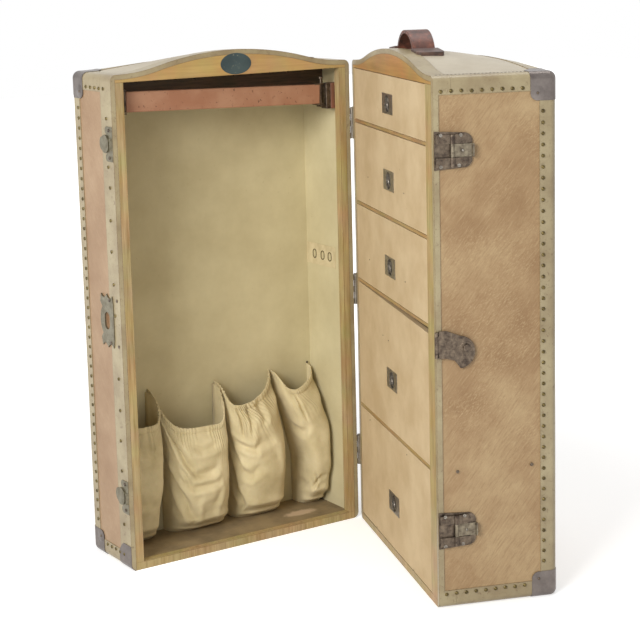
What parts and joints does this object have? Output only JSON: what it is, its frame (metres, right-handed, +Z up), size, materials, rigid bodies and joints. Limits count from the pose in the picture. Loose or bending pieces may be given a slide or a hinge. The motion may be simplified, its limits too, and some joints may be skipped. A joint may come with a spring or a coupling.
{
  "type": "wardrobe trunk",
  "caption": "Upright wardrobe trunk, part open: a hanging half with a garment bar and shoe pouches, and a half of drawers.",
  "frame": {"origin": "middle of the underside of the hanging half's base board, on the floor", "axes": "+Z up, -Y out of the hanging half's opening, +X towards the main hinge"},
  "size_m": [0.8497, 0.8434, 1.156],
  "materials": {
    "side_panel": "matt",
    "edge_binding": "satin",
    "corner_steel": "worn satin",
    "hardware_steel": "worn, oxidised",
    "hinge_steel": "dull",
    "inside_wood": "matt",
    "drawer_covering": "matt",
    "lining_paper": "matt",
    "floor_canvas": "matt",
    "painted_bar": "eggshell",
    "rail_wood": "oiled",
    "pouch_cotton": "matt",
    "tape_cotton": "matt",
    "pull_steel": "satin",
    "strap_leather": "worn",
    "badge_enamel": "semi-gloss"
  },
  "bodies": {
    "hanging_half": {"hanging_back_panel": "side_panel", "hanging_latch_wall": "side_panel", "hanging_hinge_wall": "side_panel", "hanging_base_board": "side_panel", "hanging_domed_top": "side_panel", "hanging_edge_binding": "edge_binding", "hanging_corner_caps": "corner_steel", "hanging_front_frame": "inside_wood", "hanging_header_board": "inside_wood", "hanging_ceiling_board": "rail_wood", "blank_oval_plate": "badge_enamel", "hanging_lining": "lining_paper", "hanging_floor_cloth": "floor_canvas", "hanger_rail": "rail_wood", "eyelet_tape": "tape_cotton", "tape_eyelets": "hardware_steel", "shoe_pouches": "pouch_cotton", "bar_catch_block": "rail_wood", "bar_brackets": "hardware_steel", "draw_latch_strikes": "hardware_steel", "lock_plate": "hardware_steel", "hinge_leaves_hanging": "hinge_steel", "hinge_pins": "hinge_steel"},
    "drawer_half": {"drawer_back_panel": "side_panel", "drawer_latch_wall": "side_panel", "drawer_hinge_wall": "side_panel", "drawer_base_board": "side_panel", "drawer_domed_top": "side_panel", "drawer_edge_binding": "edge_binding", "drawer_corner_caps": "corner_steel", "drawer_front_frame": "inside_wood", "drawer_header_board": "inside_wood", "drawer_dividers": "inside_wood", "drawer_guides": "inside_wood", "draw_latch_bases": "hardware_steel", "lock_hasp_hinge": "hardware_steel", "hinge_leaves_drawer": "hinge_steel", "handle_strap": "strap_leather", "handle_tabs": "strap_leather"},
    "garment_bar_body": {"garment_bar": "painted_bar", "bar_end_fittings": "hardware_steel"},
    "bar_bolt_body": {"bar_catch_bolt": "hardware_steel"},
    "drawer_1": {"drawer_1_box": "drawer_covering", "drawer_1_pull_plate": "pull_steel"},
    "drawer_1_bail_body": {"drawer_1_bail": "pull_steel"},
    "drawer_2": {"drawer_2_box": "drawer_covering", "drawer_2_pull_plate": "pull_steel"},
    "drawer_2_bail_body": {"drawer_2_bail": "pull_steel"},
    "drawer_3": {"drawer_3_box": "drawer_covering", "drawer_3_pull_plate": "pull_steel"},
    "drawer_3_bail_body": {"drawer_3_bail": "pull_steel"},
    "drawer_4": {"drawer_4_box": "drawer_covering", "drawer_4_pull_plate": "pull_steel"},
    "drawer_4_bail_body": {"drawer_4_bail": "pull_steel"},
    "drawer_5": {"drawer_5_box": "drawer_covering", "drawer_5_pull_plate": "pull_steel"},
    "drawer_5_bail_body": {"drawer_5_bail": "pull_steel"},
    "upper_latch_body": {"upper_latch_leaf": "hardware_steel"},
    "lower_latch_body": {"lower_latch_leaf": "hardware_steel"},
    "lock_hasp_body": {"lock_hasp": "hardware_steel"}
  },
  "joints": [
    {"name": "main_hinge", "type": "hinge", "parent": "hanging_half", "child": "drawer_half", "pos_m": [0.3055, -0.0945, 0.55], "axis": [0, 0, 1], "range_deg": [-70.5, 107.5]},
    {"name": "drawer_1_slide", "type": "slide", "parent": "drawer_half", "child": "drawer_1", "axis": [-0.9426, 0.3338, 0], "range_m": [0, 0.14]},
    {"name": "drawer_2_slide", "type": "slide", "parent": "drawer_half", "child": "drawer_2", "axis": [-0.9426, 0.3338, 0], "range_m": [0, 0.2]},
    {"name": "drawer_3_slide", "type": "slide", "parent": "drawer_half", "child": "drawer_3", "axis": [-0.9426, 0.3338, 0], "range_m": [0, 0.2]},
    {"name": "drawer_4_slide", "type": "slide", "parent": "drawer_half", "child": "drawer_4", "axis": [-0.9426, 0.3338, 0], "range_m": [0, 0.2]},
    {"name": "drawer_5_slide", "type": "slide", "parent": "drawer_half", "child": "drawer_5", "axis": [-0.9426, 0.3338, 0], "range_m": [0, 0.2]},
    {"name": "drawer_1_bail_hinge", "type": "hinge", "parent": "drawer_1", "child": "drawer_1_bail_body", "pos_m": [0.21344, -0.36795, 1.0019], "axis": [0.3338, 0.9426, 0], "range_deg": [0, 110]},
    {"name": "drawer_2_bail_hinge", "type": "hinge", "parent": "drawer_2", "child": "drawer_2_bail_body", "pos_m": [0.21344, -0.36795, 0.83865], "axis": [0.3338, 0.9426, 0], "range_deg": [0, 110]},
    {"name": "drawer_3_bail_hinge", "type": "hinge", "parent": "drawer_3", "child": "drawer_3_bail_body", "pos_m": [0.21344, -0.36795, 0.65165], "axis": [0.3338, 0.9426, 0], "range_deg": [0, 110]},
    {"name": "drawer_4_bail_hinge", "type": "hinge", "parent": "drawer_4", "child": "drawer_4_bail_body", "pos_m": [0.21344, -0.36795, 0.40215], "axis": [0.3338, 0.9426, 0], "range_deg": [0, 110]},
    {"name": "drawer_5_bail_hinge", "type": "hinge", "parent": "drawer_5", "child": "drawer_5_bail_body", "pos_m": [0.21344, -0.36795, 0.1229], "axis": [0.3338, 0.9426, 0], "range_deg": [0, 110]},
    {"name": "upper_latch_hinge", "type": "hinge", "parent": "drawer_half", "child": "upper_latch_body", "pos_m": [0.13656, -0.68391, 0.935], "axis": [0, 0, -1], "range_deg": [0, 178]},
    {"name": "lower_latch_hinge", "type": "hinge", "parent": "drawer_half", "child": "lower_latch_body", "pos_m": [0.13656, -0.68391, 0.165], "axis": [0, 0, -1], "range_deg": [0, 178]},
    {"name": "lock_hasp_pivot", "type": "hinge", "parent": "drawer_half", "child": "lock_hasp_body", "pos_m": [0.10232, -0.66977, 0.55], "axis": [0, 0, -1], "range_deg": [0, 178]},
    {"name": "garment_bar_pivot", "type": "hinge", "parent": "hanging_half", "child": "garment_bar_body", "pos_m": [-0.259, -0.059, 1.019], "axis": [0, 0, -1], "range_deg": [0, 90]},
    {"name": "bar_bolt_slide", "type": "slide", "parent": "garment_bar_body", "child": "bar_bolt_body", "axis": [0, 0, -1], "range_m": [0, 0.009]}
  ]
}
